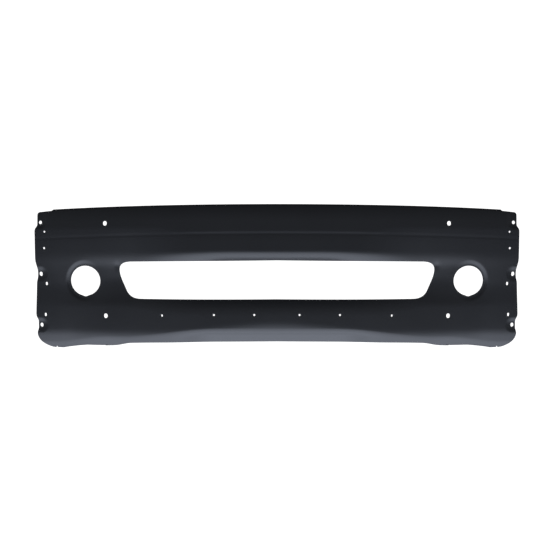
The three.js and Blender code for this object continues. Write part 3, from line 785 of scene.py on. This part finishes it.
def bracket_beads():
    """Start and end of each weld bead in the inside corners of the right-hand bracket."""
    x, rear, sunk = WEB[1] + 0.4, MOUNT_DEPTH - PLATE["thickness"], 0.6

    def foot_rear(z):
        return behind_face(x, z, GAP + FOOT_THICKNESS + sunk)

    beads = [(foot_rear(low), foot_rear(high)) for low, high in FOOT_BEADS]
    beads += [((x, rear - sunk, low), (x, rear - sunk, high)) for low, high in PLATE_BEADS]
    beads.append(((x, SILL["front"] + 3, SILL["top"] + sunk), (x, SILL["rear"] - 3, SILL["top"] + sunk)))
    return beads


# ---------- materials ----------

def node(tree, kind, **inputs):
    """A new node with constant values on the named inputs."""
    made = tree.nodes.new(kind)
    for name, value in inputs.items():
        made.inputs[name].default_value = value
    return made


def maths(tree, operation, *values):
    """The result of a Math node on sockets and plain numbers."""
    made = tree.nodes.new("ShaderNodeMath")
    made.operation = operation
    for socket, value in zip(made.inputs, values):
        if isinstance(value, (int, float)):
            socket.default_value = value
        else:
            tree.links.new(value, socket)
    return made.outputs[0]


def ramp(tree, source, start, end, low, high):
    """A smooth change from `low` to `high` as the source goes from `start` to `end`."""
    fade = tree.nodes.new("ShaderNodeMapRange")
    fade.interpolation_type = "SMOOTHSTEP"
    for name, value in (("From Min", start), ("From Max", end), ("To Min", low), ("To Max", high)):
        fade.inputs[name].default_value = value
    tree.links.new(source, fade.inputs["Value"])
    return fade.outputs["Result"]


def blend(tree, factor, first, second):
    """A mix of two colours, each a socket or a plain colour."""
    mix = tree.nodes.new("ShaderNodeMix")
    mix.data_type = "RGBA"
    tree.links.new(factor, mix.inputs[0])
    sockets = [socket for socket in mix.inputs if socket.type == "RGBA"]
    for socket, value in zip(sockets, (first, second)):
        if isinstance(value, tuple):
            socket.default_value = (*value, 1)
        else:
            tree.links.new(value, socket)
    return next(socket for socket in mix.outputs if socket.type == "RGBA")


def noise(tree, place, scale, detail):
    """Noise over a place in space; scale is its number of features per metre."""
    made = node(tree, "ShaderNodeTexNoise", Scale=scale, Detail=detail)
    tree.links.new(place, made.inputs["Vector"])
    return made.outputs["Fac"]


def attribute(tree, name):
    """A value stored on each point of the mesh."""
    made = tree.nodes.new("ShaderNodeAttribute")
    made.attribute_name = name
    return made.outputs["Fac"]


COAT, COAT_THICK, COAT_WORN = (0.0082, 0.0085, 0.0093), (0.0088, 0.0091, 0.0099), (0.020, 0.021, 0.023)
STEEL, STEEL_DARK = (0.34, 0.33, 0.32), (0.16, 0.15, 0.145)
IOR = 1.5
CLOUD_SCALE, MOTTLE_SCALE, PEEL_SCALE, GRAIN_SCALE = 7.0, 95.0, 420.0, 2600.0
GRAIN_DEPTH = 0.12  # as a fraction of the orange peel's
PEEL_STRENGTH = 0.05
PEEL, PEEL_ON_WELD = 0.0004, 0.002  # metres
ROUGHNESS = 0.286
ROUGHER = dict(clouds=0.016, mottle=0.012, worn=0.12, bare=0.08)


def e_coat(name, peel_depth):
    """Satin black primer: orange peel, fine grain, uneven gloss, thin dull paint along edges, bare threads."""
    material = bpy.data.materials.new(name)
    material.use_nodes = True
    tree = material.node_tree
    link = tree.links.new
    shader = tree.nodes["Principled BSDF"]
    shader.inputs["IOR"].default_value = IOR
    place = tree.nodes.new("ShaderNodeTexCoord").outputs["Object"]
    clouds = ramp(tree, noise(tree, place, CLOUD_SCALE, 3.0), 0.3, 0.7, 0, 1)
    mottle = noise(tree, place, MOTTLE_SCALE, 3.0)
    worn = maths(tree, "MULTIPLY", attribute(tree, "edge"), ramp(tree, mottle, 0.42, 0.62, 0.15, 1))
    bare = attribute(tree, "bare")
    tone = blend(tree, worn, blend(tree, clouds, COAT, COAT_THICK), COAT_WORN)
    steel = blend(tree, ramp(tree, mottle, 0.35, 0.65, 0, 1), STEEL_DARK, STEEL)
    gloss = maths(tree, "MULTIPLY_ADD", clouds, ROUGHER["clouds"], ROUGHNESS)
    gloss = maths(tree, "ADD", gloss, ramp(tree, mottle, 0.3, 0.7, 0, ROUGHER["mottle"]))
    gloss = maths(tree, "MULTIPLY_ADD", worn, ROUGHER["worn"], gloss)
    grain = noise(tree, place, GRAIN_SCALE, 1.0)
    relief = maths(tree, "MULTIPLY_ADD", grain, GRAIN_DEPTH, noise(tree, place, PEEL_SCALE, 2.0))
    bump = node(tree, "ShaderNodeBump", Strength=PEEL_STRENGTH, Distance=peel_depth)
    link(relief, bump.inputs["Height"])
    link(bump.outputs["Normal"], shader.inputs["Normal"])
    link(blend(tree, bare, tone, steel), shader.inputs["Base Color"])
    link(bare, shader.inputs["Metallic"])
    link(maths(tree, "MULTIPLY_ADD", bare, ROUGHER["bare"], gloss), shader.inputs["Roughness"])
    return material


# ---------- put together ----------

coat = e_coat("black_e_coat", PEEL)
coat_on_weld = e_coat("black_e_coat_on_weld", PEEL_ON_WELD)
NUT_CREASE = math.radians(28)  # edges sharper than this stay crisp


def add_piece(name, points, faces, material, side, **attributes):
    """One object, smooth shaded, from a shape of the right-hand side, mirrored for the left."""
    mesh = bpy.data.meshes.new(name)
    if side < 0:
        points, faces = points * (-1, 1, 1), [face[::-1] for face in faces]
    mesh.from_pydata(((points - (0, MOUNT_DEPTH, 0)) * MM).tolist(), [], faces)
    mesh.polygons.foreach_set("use_smooth", [True] * len(mesh.polygons))
    for key, values in attributes.items():
        mesh.attributes.new(key, "FLOAT", "POINT").data.foreach_set("value", values)
    mesh.materials.append(material)
    piece = bpy.data.objects.new(name, mesh)
    bpy.context.collection.objects.link(piece)
    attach(piece, BODY)
    return piece


def add_sheets(name, sheets, node_name, side=1):
    """One piece made of several sheets, in place of a CAD piece."""
    points, normals, edge = (np.concatenate([sheet[k] for sheet in sheets]) for k in (0, 1, 3))
    faces, start = [], 0
    for sheet in sheets:
        faces += [tuple(start + k for k in face) for face in sheet[2]]
        start += len(sheet[0])
    piece = add_piece(name, points, faces, coat, side, edge=edge)
    piece.data.normals_split_custom_set_from_vertices((normals * (side, 1, 1)).tolist())
    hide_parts(node_name)


def add_nut(node_name, shape, side, hole):
    """Seats a nut on the back of the panel, square to it, behind a hole."""
    points, faces, bare = shape
    x, z = side * hole[0], hole[1]
    seat = behind_face(x, z, GAP)
    axis = behind_face(x, z, GAP + 1) - seat
    across = np.cross(axis, (0, 0, 1))
    across /= np.linalg.norm(across)
    placed = seat + points @ np.stack([across, axis, np.cross(across, axis)])
    piece = add_piece(f"{node_name}_threaded", placed, faces, coat, 1, bare=bare)
    piece.data.set_sharp_from_angle(angle=NUT_CREASE)
    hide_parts(node_name)


add_sheets("face_panel_pressing", [pressing(panel_rings(), face_surface, SHEET, face_grid())], "face_panel")
add_sheets("upper_stiffener_pressing", [stiffener()], "upper_stiffener")

bracket = [web(), foot(UPPER_FOOT, BOLT_HOLES[0]), foot(LOWER_FOOT, BOLT_HOLES[1]), sill()]
plate = chassis_plate()
beads = [weld_bead(start, end) for start, end in bracket_beads()]
m8_nut, m10_nut = weld_nut(M8_NUT), weld_nut(M10_NUT)

for side, side_name in ((-1, "left"), (1, "right")):
    add_sheets(f"mount_bracket_{side_name}_fabricated", bracket, f"mount_bracket_{side_name}", side)
    add_sheets(f"chassis_plate_{side_name}_cut", [plate], f"chassis_plate_{side_name}", side)
    for k, (points, faces) in enumerate(beads):
        add_piece(f"weld_bead_{side_name}_{k + 1}", points, faces, coat_on_weld, side)
    for place, nut, hole in zip(("inner", "middle", "outer"), (m8_nut, m8_nut, m10_nut), SKIRT_HOLES):
        add_nut(f"skirt_nut_{side_name}_{place}", nut, side, hole)
    for place, hole in zip(("top", "middle", "bottom"), TAB_HOLES):
        name = f"tab_washer_{side_name}_{place}"
        add_sheets(f"{name}_pressed", [weld_washer(hole)], name, side)
    name = f"cap_washer_{side_name}"
    add_sheets(f"{name}_pressed", [weld_washer(CAP_HOLE)], name, side)


# ---------- stage, light and camera ----------

FLOOR_DROP, FLOOR_HALF_SIZE = 0.45, 30
FLOOR_GLOW, FLOOR_DIM = 2.9, 0.22
FLOOR_TINT = (0.90, 0.97, 1.14, 1)
# The floor's glow fades out to the sides and the front, and drops to a lower level behind the bumper.
FADE_SIDES, FADE_FRONT, FADE_REAR = (1.2, 2.6), (-3.2, -0.4), (-0.22, 0.0)
FRONT_POWER, REAR_LEVEL = 1.4, 0.52
FRONT_GLOW, REAR_GLOW, TOP_GLOW = 0.26, 0.5, 0.08
AIR_TINT = (0.93, 0.98, 1.08, 1)
WHITE, WHITE_LEVEL = (1, 1, 1, 1), 1.2
CAMERA_PLACE = (0.00207, -3.535, 0)
LENS, SENSOR_WIDTH = 58.8, 36


def make_floor(height):
    """A plain white floor that shines up at the bumper from close by and fades away further out."""
    size = FLOOR_HALF_SIZE
    mesh = bpy.data.meshes.new("floor")
    corners = [(-size, -size, height), (size, -size, height), (size, size, height), (-size, size, height)]
    mesh.from_pydata(corners, [], [(0, 1, 2, 3)])
    floor = bpy.data.objects.new("floor", mesh)
    bpy.context.collection.objects.link(floor)
    mesh.materials.append(floor_glow())


def floor_glow():
    """The floor's own light, which is plain white where the camera sees it."""
    material = bpy.data.materials.new("white_floor")
    material.use_nodes = True
    tree = material.node_tree
    tree.nodes.clear()
    link = tree.links.new
    place = tree.nodes.new("ShaderNodeNewGeometry")
    axes = tree.nodes.new("ShaderNodeSeparateXYZ")
    link(place.outputs["Position"], axes.inputs[0])
    across = ramp(tree, maths(tree, "ABSOLUTE", axes.outputs["X"]), *FADE_SIDES, 1, 0)
    front = ramp(tree, axes.outputs["Y"], *FADE_FRONT, 0, 1)
    front = maths(tree, "POWER", front, FRONT_POWER)
    rear = ramp(tree, axes.outputs["Y"], *FADE_REAR, 1, REAR_LEVEL)
    glow = maths(tree, "MULTIPLY", maths(tree, "MULTIPLY", across, front), rear)
    strength = maths(tree, "MULTIPLY_ADD", glow, FLOOR_GLOW - FLOOR_DIM, FLOOR_DIM)
    path = tree.nodes.new("ShaderNodeLightPath")
    lit = node(tree, "ShaderNodeEmission", Color=FLOOR_TINT)
    seen = node(tree, "ShaderNodeEmission", Color=WHITE, Strength=WHITE_LEVEL)
    mix = tree.nodes.new("ShaderNodeMixShader")
    out = tree.nodes.new("ShaderNodeOutputMaterial")
    link(strength, lit.inputs["Strength"])
    link(path.outputs["Is Camera Ray"], mix.inputs[0])
    link(lit.outputs[0], mix.inputs[1])
    link(seen.outputs[0], mix.inputs[2])
    link(mix.outputs[0], out.inputs["Surface"])
    return material


def make_world():
    """Dim studio air in front and above, brighter behind, and a white backdrop for the camera."""
    world = bpy.data.worlds.new("studio")
    world.use_nodes = True
    tree = world.node_tree
    tree.nodes.clear()
    link = tree.links.new
    path = tree.nodes.new("ShaderNodeLightPath")
    place = tree.nodes.new("ShaderNodeTexCoord")
    axes = tree.nodes.new("ShaderNodeSeparateXYZ")
    link(place.outputs["Generated"], axes.inputs[0])
    level = ramp(tree, axes.outputs["Y"], 0.0, 0.7, FRONT_GLOW, REAR_GLOW)
    above = ramp(tree, axes.outputs["Z"], 0.1, 0.6, 1, TOP_GLOW / FRONT_GLOW)
    seen = node(tree, "ShaderNodeBackground", Color=WHITE, Strength=WHITE_LEVEL)
    lit = node(tree, "ShaderNodeBackground", Color=AIR_TINT)
    mix = tree.nodes.new("ShaderNodeMixShader")
    out = tree.nodes.new("ShaderNodeOutputWorld")
    link(maths(tree, "MULTIPLY", level, above), lit.inputs["Strength"])
    link(path.outputs["Is Camera Ray"], mix.inputs[0])
    link(lit.outputs[0], mix.inputs[1])
    link(seen.outputs[0], mix.inputs[2])
    link(mix.outputs[0], out.inputs["Surface"])
    bpy.context.scene.world = world


def make_camera():
    """A camera straight in front, level with the middle of the panel."""
    data = bpy.data.cameras.new("camera")
    data.sensor_width = SENSOR_WIDTH
    data.lens = LENS
    data.clip_end = 100
    camera = bpy.data.objects.new("camera", data)
    camera.location = CAMERA_PLACE
    camera.rotation_euler = (math.pi / 2, 0, 0)
    bpy.context.collection.objects.link(camera)
    bpy.context.scene.camera = camera


make_camera()
make_world()
make_floor(cad_box[0].z - FLOOR_DROP)
bpy.context.scene.view_settings.view_transform = "Standard"
